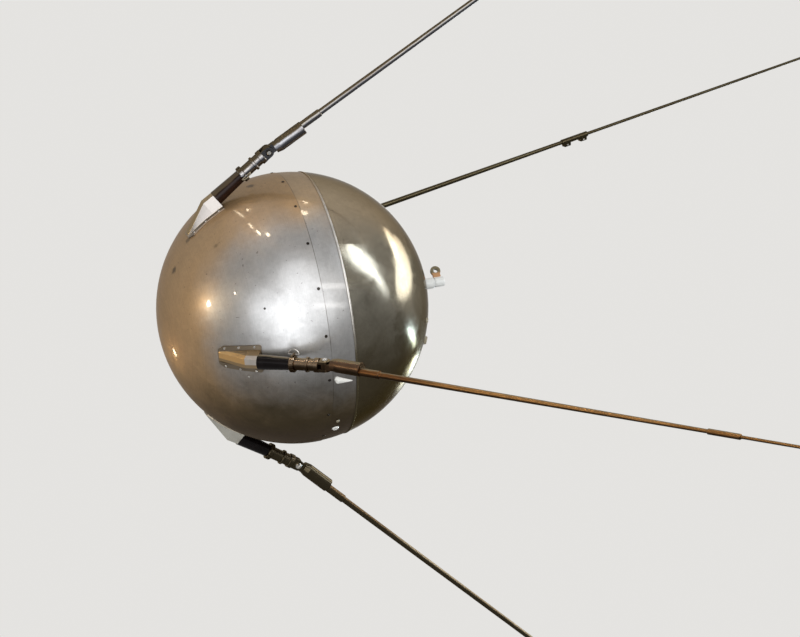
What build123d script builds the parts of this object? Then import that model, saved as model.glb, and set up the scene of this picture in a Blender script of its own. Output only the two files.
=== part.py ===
from math import cos, pi, radians, sin, sqrt
import os

from build123d import *

# A small round satellite with four swept whip antennas, at its real size in millimetres.
# The origin is the centre of the ball. +X points out of the nose, +Z is up.

# Ball
ball_r = 290.0              # outer radius of both polished heat shields
shield_wall = 1.0           # heat shield sheet
hull_wall = 2.0             # pressure hull under the shields
skin_gap = 0.3              # clearance between nested curved skins
front_shield_edge_x = -9.0  # the front shield laps this far past the bolted joint at x = 0
rear_shield_edge_x = -65.0  # the rear shield starts here, behind the bare band
band_step = 0.8             # the bare band lies this far below the shields
joint_gap = 0.3             # hairline joint between the two hull halves
flange_thickness = 8.0      # bolting flange inside each half, along X

# Battery block, an eight-sided nut that fills most of the ball
block_length = 270.0
block_clearance = 21.4      # from its end rims out to the hull's inner skin
block_corner_cut = 12.0     # its eight corners are turned off by this much
block_seat_gap = 0.3        # radial fit in the bolting flanges

# Hanging stub on the rear pole; lengths are measured from the ball's surface
stub_flange_r = 16.0
stub_flange_end = 4.0
stub_shank_r = 9.5
stub_shank_end = 25.0
stub_groove_r = 8.0
stub_groove_end = 26.5
stub_head_r = 10.3
stub_head_end = 46.5
stub_head_round = 3.0
stub_root_depth = 8.0       # how far the flange reaches inwards before it is cut to the ball
eye_at = 34.0
eye_height = 26.0           # from the stub's axis to the hole's centre
eye_r = 11.0
eye_hole_r = 4.75
eye_thickness = 7.0
eye_edge_round = 1.2

# Antenna layout: the mount's axis runs tangent to the ball over the foot
mount_angle = 35.0          # between a fixed antenna mount and the tail axis
axis_height = 15.5          # from the ball's surface to the antenna axis at its lowest point
folded_angle = 20.0         # rod against the tail axis when folded for launch
open_stop_angle = 49.0      # rod against the tail axis at the outer stop

# Foot: faceted housing on a screwed flange; x runs along the antenna axis from its lowest point
foot_sections = [
    # x, half width at the ball, half width of the top facet, height of the top facet above the ball
    (-56.0, 15.0, 8.5, -0.5),
    (14.0, 21.0, 10.0, 29.5),
    (40.0, 21.0, 10.0, 28.0),
]
foot_nose_round = 5.0
flange_outline = [
    # x, half width
    (-58.0, 16.0),
    (-45.0, 24.0),
    (41.0, 31.0),
]
flange_plate = 3.0
flange_corner_r = 5.0
flange_clearance = 0.5      # round the insulator where the flange reaches past the housing
foot_depth = 14.0           # how far the housing's blank reaches below the ball's pole
socket_r = 9.0
socket_depth = 22.0
fit_gap = 0.05              # radial clearance of a plugged or turning fit
end_gap = 0.5               # axial play at the bottom of a plugged fit

# Insulator
insulator_root_r = 16.0
insulator_end_r = 13.5
insulator_length = 71.0
insulator_lip = 3.0         # straight rim where it meets the foot

# Ferrule: a turned body with collars, then the hinge fork
ferrule_r = 13.0
ferrule_length = 64.0
ferrule_collars = [
    # start along the ferrule, length, radius, edge chamfer
    (0.0, 11.0, 18.0, 1.5),
    (35.0, 6.0, 16.0, 1.0),
    (53.0, 11.0, 15.5, 1.0),
]
collar_slots = 12           # spanner slots round the first collar
collar_slot_width = 3.0
collar_slot_depth = 1.6
pivot_x = 12.5              # from the ferrule's end face to the hinge pin
cheek_thickness = 5.0
cheek_r = 11.5
cheek_root = 2.0            # how far the cheeks run into the ferrule
tongue_thickness = 12.0
tongue_r = 11.0
tongue_side_gap = 0.3
heel_angle = 30.0           # between the tongue's heel corner and the rod's backward line
heel_gap = 0.2              # left between the heel and the ferrule's end face at the outer stop
pin_r = 4.0
pin_head_r = 6.5
pin_head_height = 3.2
pin_head_chamfer = 1.2

# Pull ring, a D of wire whose straight side runs through a lug on the first collar
ring_lug_at = 9.0           # from the start of the ferrule to the lug's middle
ring_lug_thickness = 3.0
ring_lug_r = 4.5
ring_lug_reach = 2.0        # the lug's centre lies this far outside the collar
ring_hole_r = 1.6
ring_hole_offset = 1.8      # the lug's hole lies this far outside the lug's centre
ring_wire_r = 0.9
ring_r = 11.4

# Rod socket, rod and coupler; x runs along the rod from the hinge pin
sleeve_start = 16.5
sleeve_end = 90.0
sleeve_r = 14.8
sleeve_drop = 2.0           # the sleeve's axis lies this far inboard of the pin
sleeve_shift = 3.5          # and this far towards the side of the pull ring
sleeve_nose = 12.0          # length of its tapered back end
sleeve_nose_r = 12.0
sleeve_end_chamfer = 0.8
arm_half_height = 9.5
rod_lift = 1.5              # the rod's axis lies this far outboard of the pin
rod_base_r = 8.7
rod_base_plug = 48.0        # how deep it sits in the sleeve
rod_base_out = 48.0         # how far it stands out of the sleeve
rod_base_chamfer = 1.5
rod_root_r = 6.8
rod_mid_r = 4.4
whip_root_r = 3.6
whip_tip_r = 2.2
coupler_at = 0.4            # its middle, as a share of the rod's length
coupler_r = 6.2
coupler_length = 76.0
coupler_chamfer = 1.0
boss_spacing = 48.0
boss_length = 19.0
boss_half_height = 4.5
boss_reach = 12.0
boss_round = 2.0
short_rod = 2400.0          # hinge pin to tip, one opposite pair
long_rod = 2900.0           # the other pair

antennas = {
    # name: (angle from +Z towards +Y, rod length, rest angle, side of the pull ring, turn of the coupler)
    "upper_left": (45.0, long_rod, 28.2, -1, 180.0),
    "lower_left": (135.0, short_rod, open_stop_angle, 1, -115.0),
    "lower_right": (225.0, long_rod, 46.2, -1, 180.0),
    "upper_right": (315.0, short_rod, 23.5, 1, 0.0),
}

hull_r = ball_r - shield_wall - skin_gap
hull_inner_r = hull_r - hull_wall
block_rim_r = sqrt(hull_inner_r**2 - (block_length / 2)**2) - block_clearance
block_corner_r = block_rim_r + block_corner_cut
flange_bore_r = block_rim_r + block_seat_gap
axis_r = ball_r + axis_height
foot_rear_x = foot_sections[-1][0]
ferrule_x = foot_rear_x + insulator_length
hinge_x = ferrule_x + ferrule_length + pivot_x
fork_inner = tongue_thickness / 2 + tongue_side_gap
fork_outer = fork_inner + cheek_thickness
rod_base_end = sleeve_end + rod_base_out
ring_lug_x = ferrule_x + ring_lug_at
ring_lug_y = ferrule_collars[0][2] + ring_lug_reach
ring_bar_y = ring_lug_y + ring_hole_offset


def along_x(radius, start, end, z=0.0):
    """A round bar along X from start to end."""
    return Pos((start + end) / 2, 0, z) * Rot(0, 90, 0) * Cylinder(radius, end - start)


def cone_x(start_r, end_r, start, end, z=0.0):
    """A tapered round bar along X."""
    return Pos((start + end) / 2, 0, z) * Rot(0, 90, 0) * Cone(start_r, end_r, end - start)


def across_y(radius, length, x=0.0, z=0.0):
    """A round bar along Y, centred on Y."""
    return Pos(x, 0, z) * Rot(90, 0, 0) * Cylinder(radius, length)


def ball(radius):
    """A solid ball whose poles lie on Y, away from feet and stub."""
    return Rot(90, 0, 0) * Sphere(radius)


def turned(profile):
    """Solid of revolution about the X axis, from a half section above it."""
    return revolve(profile, Axis.X)


def skin_profile(outer_r, inner_r, low_x, high_x):
    """Half section of a hollow ball between two planes across X."""
    window = Pos((low_x + high_x) / 2, ball_r) * Rectangle(high_x - low_x, 2 * ball_r)
    return (Circle(outer_r) - Circle(inner_r)) & window


def flange_profile(low_x, high_x):
    """Half section of a bolting flange that reaches in to the battery block."""
    height = hull_r - flange_bore_r
    bar = Pos((low_x + high_x) / 2, flange_bore_r + height / 2) * Rectangle(high_x - low_x, height)
    return bar & Circle(hull_r - hull_wall / 2)


def front_hull():
    """Front half of the pressure hull, with its flange."""
    face = joint_gap / 2
    return turned(
        skin_profile(hull_r, hull_inner_r, face, ball_r)
        + flange_profile(face, face + flange_thickness)
    )


def rear_hull():
    """Rear half of the pressure hull, with its flange and the thicker bare band."""
    face = -joint_gap / 2
    return turned(
        skin_profile(hull_r, hull_inner_r, -ball_r, face)
        + skin_profile(
            ball_r - band_step, hull_r - hull_wall / 2, rear_shield_edge_x, front_shield_edge_x - skin_gap
        )
        + flange_profile(face - flange_thickness, face)
    )


def front_shield():
    """Polished sheet over the whole front half, lapped past the joint."""
    return turned(skin_profile(ball_r, ball_r - shield_wall, front_shield_edge_x, ball_r))


def rear_shield():
    """Polished sheet over the rear half behind the bare band."""
    return turned(skin_profile(ball_r, ball_r - shield_wall, -ball_r, rear_shield_edge_x - skin_gap))


def battery_block():
    """Plain eight-sided block that stands for the batteries and the radio."""
    outline = Plane.YZ * RegularPolygon(block_corner_r, 8, rotation=22.5)
    blank = Pos(-block_length / 2, 0, 0) * extrude(outline, block_length)
    return blank & along_x(block_rim_r, -block_length, block_length)


def hanging_stub():
    """Turned stub on the rear pole, with an eye on its upper side."""
    outline = Polyline(
        (-ball_r + stub_root_depth, 0),
        (-ball_r + stub_root_depth, stub_flange_r),
        (-ball_r - stub_flange_end, stub_flange_r),
        (-ball_r - stub_flange_end, stub_shank_r),
        (-ball_r - stub_shank_end, stub_shank_r),
        (-ball_r - stub_shank_end, stub_groove_r),
        (-ball_r - stub_groove_end, stub_groove_r),
        (-ball_r - stub_groove_end, stub_head_r),
        (-ball_r - stub_head_end, stub_head_r),
        (-ball_r - stub_head_end, 0),
        close=True,
    )
    half = make_face(outline)
    head_corner = half.vertices().sort_by(Axis.X)[:2].sort_by(Axis.Y)[-1]
    body = turned(fillet(head_corner, stub_head_round)) - ball(ball_r + skin_gap)
    eye_x = -ball_r - eye_at
    eye_outline = Pos(eye_x, eye_height) * Circle(eye_r)
    eye_outline += Pos(eye_x, eye_height / 2) * Rectangle(2 * stub_groove_r, eye_height)
    eye = extrude(Plane.XZ * eye_outline, eye_thickness / 2, both=True)
    eye -= across_y(eye_hole_r, 2 * eye_thickness, eye_x, eye_height)
    rims = eye.edges().filter_by(GeomType.CIRCLE)
    return body + fillet([rim for rim in rims if rim.radius > eye_hole_r], eye_edge_round)


def foot_housing():
    """Faceted housing: a ramp up to a flat top and a square rear face."""
    low_z = ball_r - foot_depth
    faces = []
    for x, base_half, top_half, height in foot_sections:
        outline = Polyline(
            (-base_half, low_z),
            (-base_half, sqrt(ball_r**2 - x**2) + flange_plate / 2),
            (-top_half, ball_r + height),
            (top_half, ball_r + height),
            (base_half, sqrt(ball_r**2 - x**2) + flange_plate / 2),
            (base_half, low_z),
            close=True,
        )
        faces.append(Plane(origin=(x, 0, 0), x_dir=(0, 1, 0), z_dir=(1, 0, 0)) * make_face(outline))
    ramp = loft([faces[0], faces[1]], ruled=True)
    back = loft([faces[1], faces[2]], ruled=True)
    nose_corners = ramp.edges().group_by(Axis.X)[0].filter_by(Axis.Z)
    return fillet(nose_corners, foot_nose_round) + back


def foot_flange():
    """Screwed flange that follows the ball."""
    front, shoulder, rear = flange_outline
    sheet = make_face(Polyline(
        (front[0], -front[1]),
        (shoulder[0], -shoulder[1]),
        (rear[0], -rear[1]),
        (rear[0], rear[1]),
        (shoulder[0], shoulder[1]),
        (front[0], front[1]),
        close=True,
    ))
    sheet = fillet(sheet.vertices(), flange_corner_r)
    blank = Pos(0, 0, ball_r - foot_depth) * extrude(sheet, 2 * foot_depth)
    return blank & ball(ball_r + skin_gap + flange_plate)


def foot():
    """Housing and flange in one casting, bored for the insulator and cut to the ball."""
    whole = foot_housing() + foot_flange()
    whole -= ball(ball_r + skin_gap)
    whole -= along_x(socket_r + fit_gap, foot_rear_x - socket_depth, foot_rear_x + 1, axis_r)
    return whole - along_x(insulator_root_r + flange_clearance, foot_rear_x, ferrule_x, axis_r)


def insulator():
    """Tapered moulding with a spigot in the foot."""
    lip_end = foot_rear_x + insulator_lip
    lip = along_x(insulator_root_r, foot_rear_x, lip_end, axis_r)
    shaft = cone_x(insulator_root_r, insulator_end_r, lip_end, ferrule_x, axis_r)
    spigot = along_x(socket_r, foot_rear_x - socket_depth + end_gap, foot_rear_x, axis_r)
    return lip + shaft + spigot


def slotted(collar, start, length, radius):
    """Cut spanner slots across a collar's rim."""
    for index in range(collar_slots):
        turn = Rot(index * 360 / collar_slots + 180 / collar_slots, 0, 0)
        slot = Pos(start + length / 2, 0, radius) * Box(length + 2, collar_slot_width, 2 * collar_slot_depth)
        collar -= turn * slot
    return collar


def ferrule_body():
    """Turned part of the ferrule on the X axis, starting at x = 0."""
    body = along_x(ferrule_r, 0, ferrule_length)
    for index, (start, length, radius, edge) in enumerate(ferrule_collars):
        collar = along_x(radius, start, start + length)
        collar = chamfer(collar.edges().filter_by(GeomType.CIRCLE), edge)
        if index == 0:
            collar = slotted(collar, start, length, radius)
        body += collar
    return body


def fork():
    """Two cheeks that carry the hinge pin, with the pin at the origin."""
    root = pivot_x + cheek_root
    outline = Circle(cheek_r) + Pos(-root / 2, 0) * Rectangle(root, 2 * cheek_r)
    outline -= Circle(pin_r + fit_gap)
    left = extrude(Plane.XZ.offset(-fork_outer) * outline, cheek_thickness)
    return left + mirror(left, about=Plane.XZ)


def ring_lug(side):
    """Small lug that carries the pull ring, at its place on the mount."""
    lug = Pos(ring_lug_x, side * ring_lug_y, axis_r) * Rot(0, 90, 0) * Cylinder(ring_lug_r, ring_lug_thickness)
    hole = Rot(0, 90, 0) * Cylinder(ring_hole_r, 2 * ring_lug_thickness)
    return lug - Pos(ring_lug_x, side * ring_bar_y, axis_r) * hole


def ferrule(ring_side):
    """Turned ferrule, hinge fork and the pull ring's lug in one piece."""
    body = Pos(ferrule_x, 0, axis_r) * ferrule_body()
    return body + Pos(hinge_x, 0, axis_r) * fork() + ring_lug(ring_side)


def pull_ring(side):
    """D of wire through the lug on the first collar."""
    room = Pos(0, 2 * ring_r, 0) * Box(4 * ring_r, 4 * ring_r, 4 * ring_wire_r)
    wire = (Torus(ring_r, ring_wire_r) & room) + along_x(ring_wire_r, -ring_r, ring_r)
    for corner in (-ring_r, ring_r):
        wire += Pos(corner, 0, 0) * Sphere(ring_wire_r)
    if side < 0:
        wire = mirror(wire, about=Plane.XZ)
    return Pos(ring_lug_x, side * ring_bar_y, axis_r) * wire


def hinge_pin():
    """Pin through fork and tongue, with a chamfered head on each side."""
    pin = across_y(pin_r, 2 * fork_outer)
    head = Pos(0, fork_outer + pin_head_height / 2, 0) * Rot(90, 0, 0) * Cylinder(pin_head_r, pin_head_height)
    head = chamfer(head.edges().group_by(Axis.Y)[-1], pin_head_chamfer)
    return Pos(hinge_x, 0, axis_r) * (pin + head + mirror(head, about=Plane.XZ))


def tongue():
    """Rounded tongue whose heel meets the ferrule's end face at the outer stop."""
    turn = open_stop_angle - mount_angle
    heel_reach = (pivot_x - heel_gap) / cos(radians(heel_angle - turn))
    heel_x = -heel_reach * cos(radians(heel_angle))
    heel_z = heel_reach * sin(radians(heel_angle))
    outline = Circle(tongue_r)
    outline += make_face(Polyline(
        (0, 0), (0, tongue_r), (heel_x / 4, tongue_r), (heel_x, heel_z), (-tongue_r, 0), close=True,
    ))
    arm_length = sleeve_start + sleeve_nose / 2
    outline += Pos(arm_length / 2, 0) * Rectangle(arm_length, 2 * arm_half_height)
    return extrude(Plane.XZ * outline, tongue_thickness / 2, both=True)


def rod_socket(side):
    """Moving half of the hinge: a tongue and an eccentric sleeve that holds the rod."""
    nose = cone_x(sleeve_nose_r, sleeve_r, sleeve_start, sleeve_start + sleeve_nose, -sleeve_drop)
    barrel = along_x(sleeve_r, sleeve_start + sleeve_nose, sleeve_end, -sleeve_drop)
    barrel = chamfer(barrel.edges().filter_by(GeomType.CIRCLE).group_by(Axis.X)[-1], sleeve_end_chamfer)
    body = tongue() + Pos(0, side * sleeve_shift, 0) * (nose + barrel)
    body -= along_x(rod_base_r + fit_gap, sleeve_end - rod_base_plug, sleeve_end + 1, rod_lift)
    return body - across_y(pin_r + fit_gap, 4 * fork_outer)


def lower_rod(length):
    """Thick half of the rod: a plugged base, then a taper up to the coupler."""
    joint_x = length * coupler_at
    coupler_start = joint_x - coupler_length / 2
    base = along_x(rod_base_r, sleeve_end - rod_base_plug + end_gap, rod_base_end)
    base = chamfer(base.edges().group_by(Axis.X)[-1], rod_base_chamfer)
    shaft = cone_x(rod_root_r, rod_mid_r, rod_base_end, coupler_start)
    return base + shaft + along_x(rod_mid_r, coupler_start, joint_x - end_gap)


def coupler(length, turn):
    """Clamp sleeve between the two halves of the rod, with two clamp blocks turned about it."""
    joint_x = length * coupler_at
    start = joint_x - coupler_length / 2
    end = joint_x + coupler_length / 2
    body = chamfer(along_x(coupler_r, start, end).edges().filter_by(GeomType.CIRCLE), coupler_chamfer)
    for middle in (joint_x - boss_spacing / 2, joint_x + boss_spacing / 2):
        block = Pos(middle, boss_reach / 2, 0) * Box(boss_length, boss_reach, 2 * boss_half_height)
        body += Rot(turn, 0, 0) * fillet(block.edges().filter_by(Axis.Z), boss_round)
    body -= along_x(rod_mid_r + fit_gap, start - 1, joint_x)
    return body - along_x(whip_root_r + fit_gap, joint_x - 1, end + 1)


def upper_rod(length):
    """Thin half of the rod, with a rounded tip."""
    joint_x = length * coupler_at
    coupler_end = joint_x + coupler_length / 2
    plug = along_x(whip_root_r, joint_x + end_gap, coupler_end)
    shaft = cone_x(whip_root_r, whip_tip_r, coupler_end, length - whip_tip_r)
    return plug + shaft + Pos(length - whip_tip_r, 0, 0) * Sphere(whip_tip_r)


def swept_frame(origin, angle, lean):
    """Frame whose x leans out from the tail by a number of degrees, in an antenna's own plane."""
    tail = Vector(-1, 0, 0)
    outward = Vector(0, sin(radians(angle)), cos(radians(angle)))
    along = tail * cos(radians(lean)) + outward * sin(radians(lean))
    up = tail * -sin(radians(lean)) + outward * cos(radians(lean))
    return Plane(origin=origin, x_dir=along, z_dir=up)


def save(name, shape):
    """Write one node."""
    export_step(shape.solids()[0], f"parts/{name}.step")


def main():
    os.makedirs("parts", exist_ok=True)
    save("front_hull", front_hull())
    save("rear_hull", rear_hull())
    save("front_shield", front_shield())
    save("rear_shield", rear_shield())
    save("battery_block", battery_block())
    save("hanging_stub", hanging_stub())
    for name, (angle, length, rest_angle, ring_side, coupler_turn) in antennas.items():
        mount = swept_frame((0, 0, 0), angle, mount_angle)
        pin = mount.from_local_coords(Vector(hinge_x, 0, axis_r))
        swing = swept_frame(pin, angle, rest_angle)
        rod = swing.offset(rod_lift)
        fixed = {
            "foot": foot(),
            "insulator": insulator(),
            "ferrule": ferrule(ring_side),
            "pull_ring": pull_ring(ring_side),
            "hinge_pin": hinge_pin(),
        }
        moving = {
            "lower_rod": lower_rod(length),
            "coupler": coupler(length, coupler_turn),
            "upper_rod": upper_rod(length),
        }
        for node, shape in fixed.items():
            save(f"{node}_{name}", shape.moved(mount.location))
        save(f"rod_socket_{name}", rod_socket(ring_side).moved(swing.location))
        for node, shape in moving.items():
            save(f"{node}_{name}", shape.moved(rod.location))
        fold = folded_angle - rest_angle
        spread = open_stop_angle - rest_angle
        print(name, "pin", [round(v, 3) for v in pin], "opening axis", [round(-v, 6) for v in swing.y_dir],
              "range", fold, spread)


main()
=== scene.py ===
import math

import bmesh
import bpy
from mathutils import Matrix, Vector


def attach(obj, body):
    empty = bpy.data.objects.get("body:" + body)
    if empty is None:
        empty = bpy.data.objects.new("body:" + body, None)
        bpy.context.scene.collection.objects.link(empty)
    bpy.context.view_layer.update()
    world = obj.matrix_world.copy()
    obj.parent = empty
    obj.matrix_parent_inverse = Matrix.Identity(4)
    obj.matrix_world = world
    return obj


# A ball satellite with four swept whip antennas, dressed round the CAD frame. Lengths in metres.
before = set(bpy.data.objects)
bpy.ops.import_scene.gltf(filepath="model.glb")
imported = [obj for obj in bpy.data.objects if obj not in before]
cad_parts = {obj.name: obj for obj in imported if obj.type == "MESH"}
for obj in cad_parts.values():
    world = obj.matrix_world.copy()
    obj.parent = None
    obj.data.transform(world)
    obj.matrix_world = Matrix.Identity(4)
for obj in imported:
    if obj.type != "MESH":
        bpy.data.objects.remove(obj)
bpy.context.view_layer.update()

# Ball
BALL_R = 0.290
BAND_R = 0.2892             # the bare band between the shields
JOINT_SCREWS_X = -0.002     # ring of screws just behind the widest circle
JOINT_SCREWS = 18
JOINT_SCREWS_START = 7.9    # azimuth of the first one, from +Z towards +Y in degrees
SEAM_X = -0.0645            # raised seam at the edge of the rear shield
SEAM_HALF_WIDTH = 0.0023
SEAM_HEIGHT = 0.0010

# Small single fasteners on the ball
STUDS = [
    # name, x, azimuth, head radius, head height, finish
    ("nose_plug", 0.1133, 112.0, 0.0024, 0.0004, "dark"),
    ("side_plug", 0.1591, 145.0, 0.0026, 0.0010, "bright"),
    ("band_screw_large", -0.0237, 180.7, 0.0082, 0.0024, "white"),
    ("band_screw_small", -0.0255, 174.4, 0.0044, 0.0016, "dull"),
    ("tail_screw_near", -0.2600, 150.0, 0.0064, 0.0034, "dull"),
    ("tail_screw_low", -0.2590, 177.2, 0.0100, 0.0050, "dull"),
    ("tail_screw_far", -0.2590, 204.4, 0.0100, 0.0050, "dull"),
]

# Streamlined cover on the band, a half cone that points to the tail
COVER_AZIMUTHS = (148.2, 150.9)     # of its wide end and its tip
COVER_START_X = -0.0125
COVER_LENGTH = 0.041
COVER_HALF_WIDTH = 0.0092
COVER_HEIGHT = 0.0070
COVER_WIDEST = 0.15         # where it is widest, as a share of its length
COVER_TAPER = 0.86          # share of its width lost from there to the tip
COVER_LEAST = 0.05          # width of both ends, as a share of the widest

# Sleeve round the root of the hanging stub
SLEEVE_PROFILE = [
    # x, radius: out along the stub, round the lip and back inside
    (-0.2890, 0.0100),
    (-0.2960, 0.0116),
    (-0.3090, 0.0116),
    (-0.3130, 0.0108),
    (-0.3150, 0.0090),
    (-0.3150, 0.0070),
    (-0.2890, 0.0070),
]

# Slotted heads of the fasteners that come in sets
SCREW_HEADS = {
    "joint": {"head_radius": 0.0034, "head_height": 0.0010, "slot_width": 0.0008, "seed": 5},
    "foot": {"head_radius": 0.0032, "head_height": 0.0018, "slot_width": 0.0008, "seed": 8},
    "pin": {"head_radius": 0.0044, "head_height": 0.0012, "slot_width": 0.0012, "seed": 4},
    "clamp": {"head_radius": 0.0026, "head_height": 0.0014, "slot_width": 0.0007, "seed": 6},
}
STUD_SLOT = 0.25            # a stud's slot width as a share of its head's radius
STUD_SEED = 2

# Antennas: the mount's axis runs tangent to the ball, the rod turns about the hinge pin
MOUNT_ANGLE = 35.0          # mount against the tail axis, degrees
AXIS_R = 0.3055             # antenna axis from the ball's centre
HINGE_ALONG = 0.1875        # hinge pin from the axis' lowest point
PIN_END = 0.0145            # outer face of the pin's heads
ROD_LIFT = 0.0015           # rod's axis outboard of the pin
PATCH_START = 0.0135        # where the foot's ramp meets its flat top
FLANGE_SCREWS = [
    # x along the mount, half distance across
    (-0.041, 0.0195),
    (-0.008, 0.0240),
    (0.027, 0.0268),
]
FLANGE_TOP_R = 0.2933
COUPLER_AT = 0.4            # middle of the coupler, as a share of the rod's length
BOSS_OFFSET = 0.024         # clamp blocks either side of its middle
BOSS_SCREW_REACH = 0.0080
BOSS_HALF_HEIGHT = 0.0045
ANTENNAS = {
    # name: (angle from +Z towards +Y, rod length, rest angle, turn of the coupler)
    "upper_left": (45.0, 2.9, 28.2, 180.0),
    "lower_left": (135.0, 2.4, 49.0, -115.0),
    "lower_right": (225.0, 2.9, 46.2, 180.0),
    "upper_right": (315.0, 2.4, 23.5, 0.0),
}

# Colours of each antenna, which differ between the four partly by weathering and partly as painted
# light and shade: a foot's ramp, top and side colours are lit and shaded copies of one cast metal,
# and on lower_left the edges sit off centre so that part of its top takes the dark side colour as
# painted shade. Edges are the bounds of a foot's top facets across its axis, foot_shade is the
# share of painted shade on a foot's downward faces, the dust colour is dust with painted light on
# upper sides, the shade colour is painted shade on lower sides, and the dust's rise is how far up
# a side faces where dust and light start and where they cover all.
ANTENNA_TINTS = {
    "upper_left": {
        "edges": (-0.0096, 0.0096), "ramp": (0.5, 0.37, 0.21), "top": (0.52, 0.39, 0.23),
        "side": (0.38, 0.35, 0.325), "flange": (0.42, 0.36, 0.29), "foot_shade": 0.3,
        "dust_and_top_light": (0.13, 0.1, 0.06), "dust_and_light_rise": (-0.28, -0.08), "shade": (0.1, 0.1, 0.11),
        "insulator": (0.012, 0.004, 0.002), "ferrule": (0.52, 0.49, 0.46),
        "socket": (0.56, 0.56, 0.58), "rod_near": (0.46, 0.43, 0.38), "rod_far": (0.5, 0.46, 0.4),
    },
    "lower_left": {
        "edges": (-0.0028, 0.014), "ramp": (0.76, 0.48, 0.21), "top": (0.68, 0.62, 0.56),
        "side": (0.4, 0.29, 0.17), "flange": (0.27, 0.22, 0.16), "foot_shade": 0.45,
        "dust_and_top_light": (0.34, 0.27, 0.17), "dust_and_light_rise": (0.38, 0.62), "shade": (0.035, 0.022, 0.012),
        "insulator": (0.003, 0.002, 0.002), "ferrule": (0.34, 0.25, 0.17),
        "socket": (0.17, 0.1, 0.06), "rod_near": (0.17, 0.08, 0.035), "rod_far": (0.5, 0.26, 0.095),
    },
    "lower_right": {
        "edges": (-0.0096, 0.0096), "ramp": (0.8, 0.8, 0.72), "top": (0.8, 0.8, 0.72),
        "side": (0.76, 0.74, 0.66), "flange": (0.4, 0.34, 0.26), "foot_shade": 0.0,
        "dust_and_top_light": (0.16, 0.13, 0.075), "dust_and_light_rise": (0.3, 0.62), "shade": (0.06, 0.048, 0.028),
        "insulator": (0.003, 0.002, 0.002), "ferrule": (0.26, 0.22, 0.15),
        "socket": (0.12, 0.1, 0.065), "rod_near": (0.15, 0.1, 0.055), "rod_far": (0.26, 0.21, 0.14),
    },
    "upper_right": {
        "edges": (-0.0096, 0.0096), "ramp": (0.5, 0.44, 0.36), "top": (0.55, 0.52, 0.48),
        "side": (0.34, 0.29, 0.23), "flange": (0.3, 0.26, 0.2), "foot_shade": 0.4,
        "dust_and_top_light": (0.12, 0.1, 0.06), "dust_and_light_rise": (0.25, 0.6), "shade": (0.05, 0.04, 0.022),
        "insulator": (0.004, 0.003, 0.002), "ferrule": (0.3, 0.25, 0.18),
        "socket": (0.2, 0.17, 0.12), "rod_near": (0.12, 0.095, 0.055), "rod_far": (0.1, 0.08, 0.045),
    },
}
BROWNING = (0.42, 0.33, 0.24)   # stain on bare metal, as a share of its own colour
SPECK_TINT = (0.05, 0.035, 0.025)
GRAIN_DEPTH = 0.0004            # of the rings that turning leaves

# Satin sheets of the front shield and the band
CLEAN_SHEET = (0.44, 0.435, 0.43)
# dark tint of the painted shade towards the bottom, of the dark marks, of the joint line and of the painted
# shadow beside the seam
SHEET_SHADE_AND_MARKS = (0.066, 0.050, 0.027)
# the warm tint grows away from the side that faces the camera; darker than the clean sheet, it is partly a
# tan patina and partly painted shade round the rim
WARM_SIDE = (-0.09, -0.86, 0.51)    # direction in which they turn warm
SATIN_SHEET = {
    # direction in which they darken as painted shade, towards the bottom, and the cosines between which
    # they do
    "low_shade": ((0.06, -0.44, -0.90), 0.20, 0.86),
    "roughness": (0.34, 0.42),
    # smooth film over the metal, and the tint of reflections at a low angle
    "coat": 0.42, "edge": (0.42, 0.32, 0.20),
}

# Marks on the front shield
FRONT_DARK_MARKS = [
    # place on the ball, reach, strength
    ((0.135, 0.069, -0.247), 0.028, 0.36),
    ((0.108, 0.073, -0.259), 0.030, 0.42),
    ((0.080, 0.076, -0.268), 0.028, 0.36),
    ((0.141, 0.004, -0.253), 0.028, 0.40),
    ((0.090, 0.030, -0.274), 0.034, 0.30),
    ((0.252, 0.118, 0.080), 0.012, 0.80),
    ((0.213, 0.148, 0.129), 0.010, 0.60),
    ((0.174, 0.221, 0.072), 0.008, 0.45),
    ((0.063, 0.191, 0.209), 0.012, 0.70),
]

# Spots where the front shield is worn smooth
GLOSSY_SPOTS = [
    # place on the ball, reach, extra coat
    ((0.089, 0.262, 0.080), 0.085, 0.45),
]

# Marks on the rear shield
REAR_DARK_MARKS = [
    # place on the ball, reach, strength
    ((-0.178, 0.139, -0.182), 0.040, 0.60),
    ((-0.176, 0.173, -0.151), 0.028, 0.45),
    ((-0.160, 0.106, -0.217), 0.036, 0.60),
    ((-0.110, 0.240, -0.119), 0.024, 0.22),
    ((-0.107, 0.011, -0.269), 0.040, 0.45),
]

# Dark line in the joint, and painted shadow beside the seam on both its sides
BAND_LINES = [
    # x, half width, strength
    (-0.0101, 0.0011, 0.65),
    (-0.0615, 0.0012, 0.25),
]
REAR_LINES = [
    (-0.0675, 0.0012, 0.30),
]

# Photograph's viewpoint: the camera's axes, and its place along them from the ball's centre
VIEW_RIGHT = Vector((-0.96055, 0.13079, -0.24542))
VIEW_UP = Vector((-0.1692, 0.42549, 0.88901))
VIEW_BACK = Vector((0.2207, 0.89546, -0.38657))
VIEW_OFFSET = (0.2293, -0.0234, 12.0)
LENS = 253.6                # millimetres, as the sensor
SENSOR_WIDTH = 36.0

# Pale floor and surroundings
FLOOR_Z = -4.8
FLOOR_RADIUS = 60
FLOOR_FADE = (14.0, 50.0)   # distances between which it fades out
FLOOR_TINT = (0.66, 0.65, 0.63)
LOW_AMBIENT = (0.43, 0.41, 0.385)
HIGH_AMBIENT = (0.50, 0.52, 0.55)
AMBIENT_RISE = (0.2, 0.9)       # heights between which the low one turns into the high one
BACKDROP_TINT = (0.78, 0.77, 0.75)
BACKDROP_EDGE = (0.975, 0.995)  # cosines from the viewing axis between which it fades in

# Lamp colours
KEY_LAMP = (0.95, 0.97, 1.0)
BAR_LAMP = (1.0, 0.98, 0.95)
COOL_WINDOW = (0.86, 0.93, 1.0)
WARM_WINDOW = (1.0, 0.98, 0.92)
WARM_LAMP = (1.0, 0.82, 0.58)

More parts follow.
